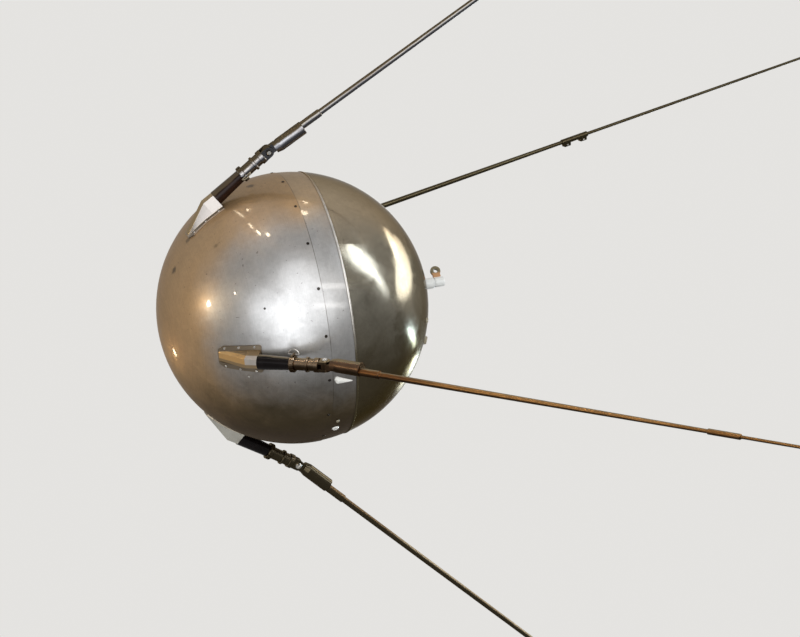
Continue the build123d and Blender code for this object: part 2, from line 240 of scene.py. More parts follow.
# Lamps, each placed where the ball mirrors it to the camera
LAMPS = [
    # name, shape, right and up as shares of the ball's radius, distance,
    # width, height, watts, colour, roll
    ("key_middle", "ELLIPSE", 0.000, -0.020, 5.0, 2.2, 2.9, 5.5, KEY_LAMP, 0.0),
    ("key_left", "ELLIPSE", -0.170, -0.040, 5.0, 2.8, 3.7, 7.5, KEY_LAMP, 0.0),
    ("key_right", "ELLIPSE", 0.190, 0.010, 5.0, 2.8, 3.7, 6.0, KEY_LAMP, 0.0),
    ("key_high", "ELLIPSE", 0.060, 0.210, 5.0, 3.1, 2.8, 6.0, KEY_LAMP, 0.0),
    ("key_low", "ELLIPSE", 0.020, -0.240, 5.0, 3.1, 2.8, 7.0, KEY_LAMP, 0.0),
    ("bar_upper", "RECTANGLE", 0.30, 0.155, 8.0, 3.4, 0.60, 4.0, BAR_LAMP, 0.0),
    ("bar_lower", "RECTANGLE", 0.28, 0.015, 8.0, 4.0, 0.60, 4.0, BAR_LAMP, 0.0),
    ("window_left_head", "ELLIPSE", 0.503, 0.342, 7.0, 2.00, 3.60, 11.0, COOL_WINDOW, 53.5),
    ("window_left_tail", "ELLIPSE", 0.632, 0.193, 7.0, 0.70, 3.00, 3.2, COOL_WINDOW, 50.0),
    ("window_right", "ELLIPSE", 0.810, 0.270, 7.0, 2.20, 5.20, 16.0, WARM_WINDOW, -35.1),
    ("window_right_tip", "ELLIPSE", 0.722, 0.470, 7.0, 0.80, 2.20, 2.4, WARM_WINDOW, -30.0),
    ("edge_streak", "RECTANGLE", 0.874, -0.426, 7.0, 0.45, 1.60, 9.0, (0.62, 0.80, 1.0), -44.1),
    ("edge_streak_low", "RECTANGLE", 0.791, -0.572, 7.0, 0.22, 1.10, 2.4, (0.70, 0.84, 1.0), -38.8),
    ("inner_streak", "ELLIPSE", 0.873, -0.209, 7.0, 0.40, 3.00, 9.0, (0.60, 0.80, 1.0), -68.1),
    ("glint_side", "ELLIPSE", -0.59, 0.026, 7.0, 0.34, 0.34, 7.5, (1.0, 0.86, 0.62), 0.0),
    ("glint_low", "ELLIPSE", -0.85, -0.32, 7.0, 0.30, 0.40, 2.2, (1.0, 0.80, 0.52), 0.0),
    ("glint_faint", "ELLIPSE", -0.40, 0.10, 7.0, 0.22, 0.22, 0.7, WARM_LAMP, 0.0),
    ("glint_top", "ELLIPSE", 0.088, 0.764, 7.0, 0.27, 0.69, 1.2, WARM_LAMP, -30.3),
    ("glint_under_top", "ELLIPSE", 0.089, 0.685, 7.0, 0.32, 0.72, 1.7, WARM_LAMP, -1.2),
    ("glint_row_1", "ELLIPSE", -0.387, 0.674, 7.0, 0.10, 2.20, 0.7, WARM_LAMP, 61.3),
    ("glint_row_2", "ELLIPSE", -0.322, 0.699, 7.0, 0.12, 0.40, 0.3, WARM_LAMP, 46.0),
    ("glint_row_3", "ELLIPSE", -0.293, 0.581, 7.0, 0.12, 1.00, 0.6, WARM_LAMP, 26.2),
    ("glint_row_4", "ELLIPSE", -0.238, 0.534, 7.0, 0.15, 0.80, 0.9, WARM_LAMP, 23.5),
    ("glint_row_5", "ELLIPSE", -0.170, 0.519, 7.0, 0.15, 0.55, 0.7, WARM_LAMP, 23.6),
]
LAMP_SPREAD = 70.0          # degrees that each lamp's light fans out


def opaque(colour):
    """Colour with full alpha."""
    return (*colour, 1.0)


def add(tree, kind, sockets=None, **settings):
    """Add a node; sockets maps its inputs to values, plain colours or other nodes' outputs."""
    made = tree.nodes.new(kind)
    for name, value in settings.items():
        setattr(made, name, value)
    for key, value in (sockets or {}).items():
        socket = made.inputs[key]
        if isinstance(value, bpy.types.NodeSocket):
            tree.links.new(value, socket)
        else:
            socket.default_value = opaque(value) if socket.type == "RGBA" else value
    return made


def group(name, tree_kind, inputs, outputs):
    """Start a node group; gives its tree and the sockets of its inputs and outputs."""
    tree = bpy.data.node_groups.new(name, tree_kind)
    for label, (kind, value) in inputs.items():
        socket = tree.interface.new_socket(label, in_out="INPUT", socket_type="NodeSocket" + kind)
        if value is not None:
            socket.default_value = value
    for label, kind in outputs.items():
        tree.interface.new_socket(label, in_out="OUTPUT", socket_type="NodeSocket" + kind)
    return tree, add(tree, "NodeGroupInput").outputs, add(tree, "NodeGroupOutput").inputs


def shader_group(name, inputs, outputs):
    """Start a shader group, which reads a part's coordinates as its Vector."""
    return group(name, "ShaderNodeTree", {"Vector": ("Vector", None), **inputs}, outputs)


def ramp(tree, value, low, high, start=0.0, end=1.0):
    """Smooth step of a value from start to end between two levels."""
    made = add(tree, "ShaderNodeMapRange", {
        "Value": value, "From Min": low, "From Max": high, "To Min": start, "To Max": end,
    }, interpolation_type="SMOOTHSTEP")
    return made.outputs["Result"]


def mixed(tree, share, first, second, kind="MIX"):
    """Mix of two colours."""
    made = add(tree, "ShaderNodeMix", {0: share, 6: first, 7: second}, data_type="RGBA", blend_type=kind)
    return made.outputs[2]


def maths(tree, operation, *values):
    """One arithmetic step."""
    made = add(tree, "ShaderNodeMath", dict(enumerate(values)), operation=operation)
    return made.outputs[0]


def vector_maths(tree, operation, output, *values):
    """One step of vector arithmetic."""
    made = add(tree, "ShaderNodeVectorMath", dict(enumerate(values)), operation=operation)
    return made.outputs[output]


def dot(tree, first, second):
    """Dot product of two vectors."""
    return vector_maths(tree, "DOT_PRODUCT", "Value", first, second)


def noise(tree, vector, scale, detail, roughness, warp=0.0):
    """Noise between 0 and 1."""
    made = add(tree, "ShaderNodeTexNoise", {
        "Vector": vector, "Scale": scale, "Detail": detail, "Roughness": roughness, "Distortion": warp,
    })
    return made.outputs["Fac"]


def uneven(tree, vector, *shape):
    """Noise between -0.5 and 0.5."""
    return maths(tree, "SUBTRACT", noise(tree, vector, *shape), 0.5)


def patina_group():
    """Clouded stain and small dark specks over a clean metal colour."""
    tree, given, out = shader_group("patina", {
        "Clean": ("Color", (0.6, 0.6, 0.6, 1.0)),
        "Stain": ("Color", (0.4, 0.3, 0.2, 1.0)),
        "Amount": ("Float", 0.4),
        "Cloud Scale": ("Float", 9.0),
        "Speck Scale": ("Float", 260.0),
        "Speck Amount": ("Float", 0.3),
    }, {"Color": "Color", "Mask": "Float"})
    vector = given["Vector"]
    cloud = noise(tree, vector, given["Cloud Scale"], 6.0, 0.62, 0.6)
    share = maths(tree, "ADD", cloud, maths(tree, "SUBTRACT", given["Amount"], 0.5))
    mask = ramp(tree, share, 0.25, 0.75)
    speck = noise(tree, vector, given["Speck Scale"], 2.0, 0.5)
    speck_mask = maths(tree, "MULTIPLY", ramp(tree, speck, 0.66, 0.76), given["Speck Amount"])
    stained = mixed(tree, mask, given["Clean"], given["Stain"])
    dark = mixed(tree, speck_mask, stained, SPECK_TINT)
    tree.links.new(dark, out["Color"])
    tree.links.new(mask, out["Mask"])
    return tree


def patina_and_shade_group():
    """Sheet metal that turns warm towards one side of the ball and darker towards another as painted shade,
    with a mottled tone and specks.
    """
    tree, given, out = shader_group("patina_and_shade", {
        "Clean": ("Color", (0.5, 0.5, 0.5, 1.0)),
        "Warm": ("Color", (0.6, 0.45, 0.3, 1.0)),
        "Low Shade": ("Color", (0.1, 0.08, 0.05, 1.0)),
        "Warm Side": ("Vector", (0.0, 0.0, 1.0)),
        "Warm Start": ("Float", 0.0),
        "Warm End": ("Float", 0.5),
        "Low Shade Side": ("Vector", (0.0, 0.0, -1.0)),
        "Low Shade Start": ("Float", 0.6),
        "Low Shade End": ("Float", 1.0),
        "Cloud": ("Float", 0.3),
        "Mottle": ("Float", 0.45),
    }, {"Color": "Color", "Warm Mask": "Float", "Low Shade Mask": "Float"})
    vector = given["Vector"]
    facing = vector_maths(tree, "NORMALIZE", "Vector", vector)
    masks = {}
    for label, scale in (("Warm", 7.0), ("Low Shade", 18.0)):
        cloud = uneven(tree, vector, scale, 6.0, 0.62, 0.5)
        towards = dot(tree, facing, given[label + " Side"])
        level = maths(tree, "MULTIPLY_ADD", cloud, given["Cloud"], towards)
        masks[label] = ramp(tree, level, given[label + " Start"], given[label + " End"])
        tree.links.new(masks[label], out[label + " Mask"])
    colour = mixed(tree, masks["Warm"], given["Clean"], given["Warm"])
    colour = mixed(tree, masks["Low Shade"], colour, given["Low Shade"])
    fine = uneven(tree, vector, 110.0, 5.0, 0.8)
    broad = uneven(tree, vector, 24.0, 5.0, 0.65, 1.0)
    mottle = maths(tree, "MULTIPLY_ADD", broad, 0.8, fine)
    shade = maths(tree, "MULTIPLY_ADD", mottle, given["Mottle"], 1.0)
    colour = mixed(tree, 1.0, colour, shade, "MULTIPLY")
    speck = ramp(tree, noise(tree, vector, 150.0, 2.0, 0.5), 0.70, 0.76)
    colour = mixed(tree, maths(tree, "MULTIPLY", speck, 0.55), colour, SPECK_TINT)
    tree.links.new(colour, out["Color"])
    return tree


def dark_mark_group():
    """Ragged dark mark round a place."""
    tree, given, out = shader_group("dark_mark", {
        "Place": ("Vector", (0.0, 0.0, 0.0)),
        "Reach": ("Float", 0.02),
        "Strength": ("Float", 0.5),
    }, {"Mask": "Float"})
    vector = given["Vector"]
    away = vector_maths(tree, "DISTANCE", "Value", vector, given["Place"])
    away = maths(tree, "DIVIDE", away, given["Reach"])
    ragged = uneven(tree, vector, 55.0, 6.0, 0.7, 0.8)
    edge = maths(tree, "MULTIPLY_ADD", ragged, 1.6, away)
    mask = maths(tree, "MULTIPLY", ramp(tree, edge, 1.0, 0.35), given["Strength"])
    tree.links.new(mask, out["Mask"])
    return tree


def edge_line_and_shadow_group():
    """Dark line along a circle round the nose axis, thinner in some stretches; it draws the joint line and
    painted shadow beside the seam.
    """
    tree, given, out = shader_group("edge_line_and_shadow", {
        "At": ("Float", 0.0),
        "Half Width": ("Float", 0.001),
        "Strength": ("Float", 0.5),
    }, {"Mask": "Float"})
    vector = given["Vector"]
    along = add(tree, "ShaderNodeSeparateXYZ", {0: vector}).outputs["X"]
    away = maths(tree, "ABSOLUTE", maths(tree, "SUBTRACT", along, given["At"]))
    away = maths(tree, "DIVIDE", away, given["Half Width"])
    patchy = ramp(tree, noise(tree, vector, 22.0, 4.0, 0.6), 0.3, 0.6, 0.45, 1.0)
    strength = maths(tree, "MULTIPLY", patchy, given["Strength"])
    tree.links.new(maths(tree, "MULTIPLY", ramp(tree, away, 1.0, 0.3), strength), out["Mask"])
    return tree


def grain_group():
    """Fine rings round an axis, as a lathe leaves them, with a soft unevenness."""
    tree, given, out = shader_group("turned_grain", {
        "Axis": ("Vector", (1.0, 0.0, 0.0)),
        "Pitch": ("Float", 700.0),
        "Unevenness": ("Float", 0.3),
    }, {"Height": "Float", "Tone": "Float"})
    along = dot(tree, given["Vector"], given["Axis"])
    ring = add(tree, "ShaderNodeTexNoise", {
        "W": along, "Scale": given["Pitch"], "Detail": 2.0, "Roughness": 0.6,
    }, noise_dimensions="1D").outputs["Fac"]
    lump = noise(tree, given["Vector"], 60.0, 3.0, 0.6)
    total = maths(tree, "MULTIPLY_ADD", lump, given["Unevenness"], ring)
    tree.links.new(total, out["Height"])
    tree.links.new(ring, out["Tone"])
    return tree


def facet_group():
    """Masks of a foot's top facets, of the flat one among them, and of its flange."""
    tree, given, out = shader_group("foot_facets", {
        "Along": ("Vector", (1.0, 0.0, 0.0)),
        "Across": ("Vector", (0.0, 1.0, 0.0)),
        "Patch Start": ("Float", PATCH_START),
        "Low Edge": ("Float", -0.0096),
        "High Edge": ("Float", 0.0096),
        "Flange Radius": ("Float", FLANGE_TOP_R),
    }, {"Top": "Float", "Patch": "Float", "Flange": "Float"})
    vector = given["Vector"]
    reach = vector_maths(tree, "LENGTH", "Value", vector)
    below = maths(tree, "SUBTRACT", given["Flange Radius"], reach)
    tree.links.new(ramp(tree, below, -0.0010, -0.0003), out["Flange"])
    along = dot(tree, vector, given["Along"])
    across = dot(tree, vector, given["Across"])
    above_low = maths(tree, "SUBTRACT", across, given["Low Edge"])
    below_high = maths(tree, "SUBTRACT", given["High Edge"], across)
    inside = maths(tree, "MINIMUM", above_low, below_high)
    beyond = maths(tree, "SUBTRACT", along, given["Patch Start"])
    tree.links.new(ramp(tree, inside, -0.0006, 0.0006), out["Top"])
    tree.links.new(ramp(tree, beyond, -0.0006, 0.0006), out["Patch"])
    return tree


def facing_group():
    """Ragged masks of the sides that face up, for dust with painted top light, and down, for painted shade.
    """
    tree, given, out = shader_group("dust_light_and_shade", {
        "Normal": ("Vector", (0.0, 0.0, 1.0)),
        "Dust And Top Light Start": ("Float", 0.25),
        "Dust And Top Light End": ("Float", 0.60),
        "Shade Start": ("Float", 0.05),
        "Shade End": ("Float", 0.70),
    }, {"Dust And Top Light": "Float", "Shade": "Float"})
    rise = dot(tree, given["Normal"], (0.0, 0.0, 1.0))
    ragged = uneven(tree, given["Vector"], 40.0, 2.0, 0.5)
    level = maths(tree, "MULTIPLY_ADD", ragged, 0.3, rise)
    dust_and_top_light = ramp(tree, level, given["Dust And Top Light Start"], given["Dust And Top Light End"])
    fall = maths(tree, "MULTIPLY", level, -1.0)
    shade = ramp(tree, fall, given["Shade Start"], given["Shade End"])
    tree.links.new(dust_and_top_light, out["Dust And Top Light"])
    tree.links.new(shade, out["Shade"])
    return tree


def streak_group():
    """Streaks that run along an axis."""
    tree, given, out = shader_group("lengthwise_streaks", {
        "Axis": ("Vector", (1.0, 0.0, 0.0)),
        "Scale": ("Float", 220.0),
    }, {"Mask": "Float"})
    vector, axis = given["Vector"], given["Axis"]
    along = dot(tree, vector, axis)
    shrink = add(tree, "ShaderNodeVectorMath", {
        0: axis, "Scale": maths(tree, "MULTIPLY", along, -0.94),
    }, operation="SCALE").outputs["Vector"]
    squeezed = vector_maths(tree, "ADD", "Vector", vector, shrink)
    streak = noise(tree, squeezed, given["Scale"], 2.0, 0.5, 0.3)
    tree.links.new(ramp(tree, streak, 0.38, 0.64), out["Mask"])
    return tree


def start_material(name):
    """A new material with its Principled shader and Object coordinates."""
    material = bpy.data.materials.new(name)
    material.use_nodes = True
    tree = material.node_tree
    shader = tree.nodes["Principled BSDF"]
    place = add(tree, "ShaderNodeTexCoord").outputs["Object"]
    return material, tree, shader, place


def placed(tree, made_group, place, sockets):
    """Put a shader group to work on a part, with its own values; gives its outputs."""
    return add(tree, "ShaderNodeGroup", {"Vector": place, **sockets}, node_tree=made_group).outputs


def patinated(tree, groups, place, clean, stain, amount, cloud, specks=0.3):
    """Stained and specked colour of a part, and the mask of its stain."""
    worn = placed(tree, groups["patina"], place, {
        "Clean": clean, "Stain": stain, "Amount": amount,
        "Cloud Scale": cloud, "Speck Amount": specks,
    })
    return worn["Color"], worn["Mask"]


def facing_masks(tree, groups, place, levels):
    """Masks of dust with painted top light, and of painted shade, from the way a part's surface faces."""
    normal = add(tree, "ShaderNodeTexCoord").outputs["Normal"]
    sides = placed(tree, groups["facing"], place, {"Normal": normal, **levels})
    return sides["Dust And Top Light"], sides["Shade"]


def bump(tree, height, distance, strength, shader):
    """Feed a height to the shader's normal."""
    made = add(tree, "ShaderNodeBump", {"Height": height, "Distance": distance, "Strength": strength})
    tree.links.new(made.outputs["Normal"], shader.inputs["Normal"])


def browned(colour):
    """Stain that grows on a metal of this colour."""
    return tuple(part * share for part, share in zip(colour, BROWNING))


def finish_paint(tree, shader, colour, roughness):
    """Link the colour and roughness of a surface."""
    tree.links.new(colour, shader.inputs["Base Color"])
    tree.links.new(roughness, shader.inputs["Roughness"])


def finish_metal(tree, shader, colour, roughness, edge=(0.6, 0.55, 0.5)):
    """Link the colour and roughness of a bare metal and set its tint at a low angle."""
    finish_paint(tree, shader, colour, roughness)
    shader.inputs["Metallic"].default_value = 1.0
    shader.inputs["Specular Tint"].default_value = opaque(edge)


def dusted_lit_and_shaded(tree, groups, place, colour, rough, dust_and_top_light, shade, dust_and_light_rise):
    """Dust with painted top light on the upper sides and painted shade on the lower ones of a small part.
    """
    levels = {"Dust And Top Light Start": dust_and_light_rise[0], "Dust And Top Light End": dust_and_light_rise[1]}
    dusty_and_lit, shaded = facing_masks(tree, groups, place, levels)
    colour = mixed(tree, dusty_and_lit, colour, dust_and_top_light)
    colour = mixed(tree, shaded, colour, shade)
    return colour, maths(tree, "MULTIPLY_ADD", dusty_and_lit, 0.22, rough)


def metal(name, groups, clean, amount, roughness, axis, cloud=30.0, **sides):
    """Turned metal with a clouded brown stain; given sides, dust with painted top light above and painted
    shade below.
    """
    material, tree, shader, place = start_material(name)
    colour, mask = patinated(tree, groups, place, clean, browned(clean), amount, cloud)
    rough = ramp(tree, mask, 0.0, 1.0, roughness, roughness + 0.14)
    if sides:
        colour, rough = dusted_lit_and_shaded(tree, groups, place, colour, rough, **sides)
    finish_metal(tree, shader, colour, rough)
    grain = placed(tree, groups["grain"], place, {"Axis": axis})
    bump(tree, grain["Height"], GRAIN_DEPTH, 0.03, shader)
    return material


def foot_metal(name, groups, tints, axis, across):
    """Cast foot whose ramp, flat top, sides and flange take colours that are partly painted light and
    shade, with painted shade on the faces that look down.
    """
    material, tree, shader, place = start_material(name)
    facets = placed(tree, groups["facets"], place, {
        "Along": axis, "Across": across,
        "Low Edge": tints["edges"][0], "High Edge": tints["edges"][1],
    })
    # facet colours, partly painted light and shade: lit and shaded copies of one cast metal
    upper = mixed(tree, facets["Patch"], tints["ramp"], tints["top"])
    base = mixed(tree, facets["Top"], tints["side"], upper)
    base = mixed(tree, facets["Flange"], base, tints["flange"])
    colour, mask = patinated(tree, groups, place, base, browned(tints["side"]), 0.20, 45.0, specks=0.2)
    # painted shade on the faces that look down, as much as each foot's share
    _, shaded = facing_masks(tree, groups, place, {"Shade Start": 0.55, "Shade End": 0.85})
    share = maths(tree, "MULTIPLY", shaded, tints["foot_shade"])
    colour = mixed(tree, share, colour, tints["shade"])
    rough = ramp(tree, mask, 0.0, 1.0, 0.36, 0.52)
    finish_metal(tree, shader, colour, rough)
    grain = placed(tree, groups["grain"], place, {"Axis": axis, "Pitch": 90.0, "Unevenness": 1.0})
    bump(tree, grain["Height"], GRAIN_DEPTH, 0.08, shader)
    return material


def rod_metal(name, groups, tints, axis):
    """Drawn rod: dark by the ball, streaked lengthwise further out, with dust and painted top light above
    and painted shade below.
    """
    near_end, far_start = 0.50, 0.66        # distances from the ball's centre
    material, tree, shader, place = start_material(name)
    reach = vector_maths(tree, "LENGTH", "Value", place)
    base = mixed(tree, ramp(tree, reach, near_end, far_start), tints["rod_near"], tints["rod_far"])
    streaks = placed(tree, groups["streaks"], place, {"Axis": axis, "Scale": 90.0})
    share = maths(tree, "MULTIPLY", streaks["Mask"], 0.5)
    streaked = mixed(tree, share, base, browned(tints["rod_far"]))
    stain = browned(tints["rod_near"])
    colour, mask = patinated(tree, groups, place, streaked, stain, 0.25, 12.0, specks=0.15)
    rough = ramp(tree, mask, 0.0, 1.0, 0.30, 0.44)
    colour, rough = dusted_lit_and_shaded(tree, groups, place, colour, rough,
                              tints["dust_and_top_light"], tints["shade"], tints["dust_and_light_rise"])
    finish_metal(tree, shader, colour, rough)
    return material


def shell_metal(name, groups, tints, warm, low_shade, roughness, coat, edge, dark_marks=(), lines=(), glossy=()):
    """Spun sheet with clean and warm zones, painted shade towards one side, dark marks, dark lines along
    its edges and smears.
    """
    clean, warm_tint, shade_and_mark_tint = tints
    material, tree, shader, place = start_material(name)
    worn = placed(tree, groups["patina_and_shade"], place, {
        "Clean": clean, "Warm": warm_tint, "Low Shade": shade_and_mark_tint,
        "Warm Side": warm[0], "Warm Start": warm[1], "Warm End": warm[2],
        "Low Shade Side": low_shade[0], "Low Shade Start": low_shade[1], "Low Shade End": low_shade[2],
    })
    grain = placed(tree, groups["grain"], place, {"Pitch": 520.0, "Unevenness": 0.8})
    tone = ramp(tree, grain["Tone"], 0.2, 0.8, 0.96, 1.04)
    colour = mixed(tree, 1.0, worn["Color"], tone, "MULTIPLY")
    for spot, reach, strength in dark_marks:
        mark = placed(tree, groups["dark_mark"], place, {
            "Place": spot, "Reach": reach, "Strength": strength,
        })
        colour = mixed(tree, mark["Mask"], colour, shade_and_mark_tint)
    # dark lines: the joint line, and painted shadow beside the seam
    for at, half_width, strength in lines:
        line = placed(tree, groups["edge_line_and_shadow"], place, {
            "At": at, "Half Width": half_width, "Strength": strength,
        })
        colour = mixed(tree, line["Mask"], colour, shade_and_mark_tint)
    smear = ramp(tree, noise(tree, place, 14.0, 6.0, 0.65, 0.8), 0.3, 0.7, roughness[0], roughness[1])
    rough = maths(tree, "MULTIPLY_ADD", worn["Low Shade Mask"], 0.08, smear)
    finish_metal(tree, shader, colour, rough, edge)
    dulling, grain_strength = (0.35, 0.16) if coat else (0.10, 0.04)
    dull = maths(tree, "MULTIPLY_ADD", worn["Warm Mask"], -dulling, 1.0)
    tree.links.new(dull, shader.inputs["Metallic"])
    warm_shine = maths(tree, "MULTIPLY_ADD", worn["Warm Mask"], -0.45, 1.0)
    shaded_shine = maths(tree, "MULTIPLY_ADD", worn["Low Shade Mask"], -0.9, 1.0)
    shine = maths(tree, "MULTIPLY", maths(tree, "MULTIPLY", warm_shine, shaded_shine), coat)
    for spot, reach, extra in glossy:
        away = vector_maths(tree, "DISTANCE", "Value", place, spot)
        shine = maths(tree, "ADD", shine, ramp(tree, away, reach, reach * 0.5, 0.0, extra))
    tree.links.new(shine, shader.inputs["Coat Weight"])
    shader.inputs["Coat Roughness"].default_value = 0.075
    shader.inputs["Coat IOR"].default_value = 2.0
    bump(tree, grain["Height"], GRAIN_DEPTH, grain_strength, shader)
    return material


def insulator_material(name, groups, tints):
    """Near-black glossy moulding with faint brown clouds, with dust and painted top light on its upper
    side.
    """
    material, tree, shader, place = start_material(name)
    base = tints["insulator"]
    cloud = tuple(part * 2.2 for part in base)
    colour, mask = patinated(tree, groups, place, base, cloud, 0.4, 40.0, specks=0.0)
    lit_dust_start, lit_dust_end = tints["dust_and_light_rise"]
    dusty_and_lit, _ = facing_masks(tree, groups, place, {"Dust And Top Light Start": lit_dust_start, "Dust And Top Light End": lit_dust_end})
    share = maths(tree, "MULTIPLY", dusty_and_lit, 0.5)
    colour = mixed(tree, share, colour, tints["dust_and_top_light"])
    finish_paint(tree, shader, colour, ramp(tree, mask, 0.0, 1.0, 0.20, 0.32))
    shader.inputs["Specular IOR Level"].default_value = 0.15
    return material


def stub_material(groups):
    """White paint on the stub, browned at the foot of its eye and olive above."""
    material, tree, shader, place = start_material("stub_paint")
    white, stain = (0.74, 0.75, 0.73), (0.50, 0.46, 0.40)
    brown, olive = (0.46, 0.24, 0.11), (0.16, 0.13, 0.07)
    white_end, brown_start = 0.0095, 0.0115     # heights above the ball's centre
    brown_end, olive_start = 0.0180, 0.0235
    colour, mask = patinated(tree, groups, place, white, stain, 0.15, 60.0)
    height = add(tree, "ShaderNodeSeparateXYZ", {0: place}).outputs["Z"]
    colour = mixed(tree, ramp(tree, height, white_end, brown_start), colour, brown)
    colour = mixed(tree, ramp(tree, height, brown_end, olive_start), colour, olive)
    finish_paint(tree, shader, colour, ramp(tree, mask, 0.0, 1.0, 0.35, 0.50))
    return material


def painted(name, groups, colour, roughness):
    """Plain worn paint on a small fitting."""
    material, tree, shader, place = start_material(name)
    worn, mask = patinated(tree, groups, place, colour, browned(colour), 0.12, 90.0)
    finish_paint(tree, shader, worn, ramp(tree, mask, 0.0, 1.0, roughness, roughness + 0.15))
    return material


def swept(angle, lean):
    """Axes whose x leans out from the tail by a number of degrees in an antenna's plane."""
    turn, tilt = math.radians(angle), math.radians(lean)
    tail = Vector((-1, 0, 0))
    outward = Vector((0, math.sin(turn), math.cos(turn)))
    along = tail * math.cos(tilt) + outward * math.sin(tilt)
    up = outward * math.cos(tilt) - tail * math.sin(tilt)
    return Matrix((along, up.cross(along), up)).transposed()


def slotted_head(tree, radius, height, slot_width):
    """Geometry Nodes: one screw head, a low cone with a slot cut across it."""
    top_share, slot_length, slot_depth, slot_lift = 0.75, 2.4, 0.55, 0.85
    dome = add(tree, "GeometryNodeMeshCone", {
        "Vertices": 20, "Side Segments": 1, "Fill Segments": 1,
        "Radius Top": maths(tree, "MULTIPLY", radius, top_share), "Radius Bottom": radius, "Depth": height,
    })
    length = maths(tree, "MULTIPLY", radius, slot_length)
    depth = maths(tree, "MULTIPLY", height, slot_depth)
    size = add(tree, "ShaderNodeCombineXYZ", {0: length, 1: slot_width, 2: depth})
    block = add(tree, "GeometryNodeMeshCube", {"Size": size.outputs[0]})
    lift = add(tree, "ShaderNodeCombineXYZ", {2: maths(tree, "MULTIPLY", height, slot_lift)})
    cutter = add(tree, "GeometryNodeTransform", {
        "Geometry": block.outputs[0], "Translation": lift.outputs[0],
    })
    head = add(tree, "GeometryNodeMeshBoolean", {
        "Mesh 1": dome.outputs["Mesh"], "Mesh 2": cutter.outputs[0],
    }, operation="DIFFERENCE")
    return head.outputs[0]


def screw_tree():
    """Geometry Nodes: a slotted screw head on every point, facing along its normal."""
    tree, given, out = group("slotted_screws", "GeometryNodeTree", {
        "Geometry": ("Geometry", None),
        "Head Radius": ("Float", 0.003),
        "Head Height": ("Float", 0.001),
        "Slot Width": ("Float", 0.0008),
        "Seed": ("Int", 3),
        "Finish": ("Material", None),
    }, {"Geometry": "Geometry"})
    head = slotted_head(tree, given["Head Radius"], given["Head Height"], given["Slot Width"])
    points = add(tree, "GeometryNodeMeshToPoints", {"Mesh": given["Geometry"]})
    facing = add(tree, "GeometryNodeInputNamedAttribute", {"Name": "facing"}, data_type="FLOAT_VECTOR")
    turn = add(tree, "FunctionNodeAlignRotationToVector", {"Vector": facing.outputs[0]}, axis="Z")
    spin = add(tree, "FunctionNodeRandomValue", {"Max": math.pi, "Seed": given["Seed"]}, data_type="FLOAT")
    roll = add(tree, "FunctionNodeAxisAngleToRotation", {"Axis": (0, 0, 1), "Angle": spin.outputs[1]})
    both = add(tree, "FunctionNodeRotateRotation", {
        0: turn.outputs[0], 1: roll.outputs[0],
    }, rotation_space="LOCAL")
    copies = add(tree, "GeometryNodeInstanceOnPoints", {
        "Points": points.outputs[0], "Instance": head, "Rotation": both.outputs[0],
    })
    plain = add(tree, "GeometryNodeRealizeInstances", {"Geometry": copies.outputs[0]})
    finish = add(tree, "GeometryNodeSetMaterial", {
        "Geometry": plain.outputs[0], "Material": given["Finish"],
    })
    tree.links.new(finish.outputs[0], out[0])
    return tree


def set_input(modifier, label, value):
    """Set a Geometry Nodes input by its socket's identifier."""
    for item in modifier.node_group.interface.items_tree:
        if item.item_type == "SOCKET" and item.in_out == "INPUT" and item.name == label:
            modifier[item.identifier] = value


def linked(name, data):
    """A new object in the scene."""
    made = bpy.data.objects.new(name, data)
    bpy.context.scene.collection.objects.link(made)
    return made


def screws(name, tree, places, finish, body="ball", slot="pin_metal", **sizes):
    """One mesh of screws at a list of (point, facing), riding on a body."""
    mesh = bpy.data.meshes.new(name)
    mesh.from_pydata([point for point, _ in places], [], [])
    attribute = mesh.attributes.new("facing", "FLOAT_VECTOR", "POINT")
    for item, (_, facing) in zip(attribute.data, places):
        item.vector = facing
    seeded = linked(name + "_points", mesh)
    modifier = seeded.modifiers.new("screws", "NODES")
    modifier.node_group = tree
    set_input(modifier, "Finish", finish)
    for label, value in sizes.items():
        set_input(modifier, label.replace("_", " ").title(), value)
    evaluated = seeded.evaluated_get(bpy.context.evaluated_depsgraph_get())
    result = bpy.data.meshes.new_from_object(evaluated)
    bpy.data.objects.remove(seeded)
    result.name = name
    made = linked(name, result)
    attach(made, body)


def on_ball(x, azimuth):
    """Point on the ball at a place along X and an angle from +Z towards +Y, and its facing."""
    around = math.sqrt(BALL_R**2 - x**2)
    turn = math.radians(azimuth)
    facing = Vector((x, around * math.sin(turn), around * math.cos(turn))).normalized()
    return facing * BALL_R, facing


def joint_screws(tree, finish):
    """Ring of small near-black screws along the joint of the two halves; the dark steel also stands in for
    painted shade in the holes they sit in.
    """
    step = 360 / JOINT_SCREWS
    places = [on_ball(JOINT_SCREWS_X, JOINT_SCREWS_START + step * index) for index in range(JOINT_SCREWS)]
    screws("joint_screws", tree, places, finish, **SCREW_HEADS["joint"])


def studs(tree, finishes):
    """Single screws and plugs on the ball."""
    for name, x, azimuth, radius, height, finish in STUDS:
        screws(name, tree, [on_ball(x, azimuth)], finishes[finish],
               head_radius=radius, head_height=height, slot_width=radius * STUD_SLOT, seed=STUD_SEED)


def foot_screws(tree, made):
    """Screws along both edges of each foot's flange, painted over where the foot is pale."""
    for name, (angle, _, _, _) in ANTENNAS.items():
        places = []
        axes = swept(angle, MOUNT_ANGLE)
        for x, y in FLANGE_SCREWS:
            for side in (-1, 1):
                point = Vector((x, side * y, math.sqrt(FLANGE_TOP_R**2 - x**2 - y**2)))
                places.append((axes @ point, axes @ point.normalized()))
        finish = made["foot_upper_left"] if name == "upper_left" else made["bright"]
        screws("foot_screws_" + name, tree, places, finish, **SCREW_HEADS["foot"])


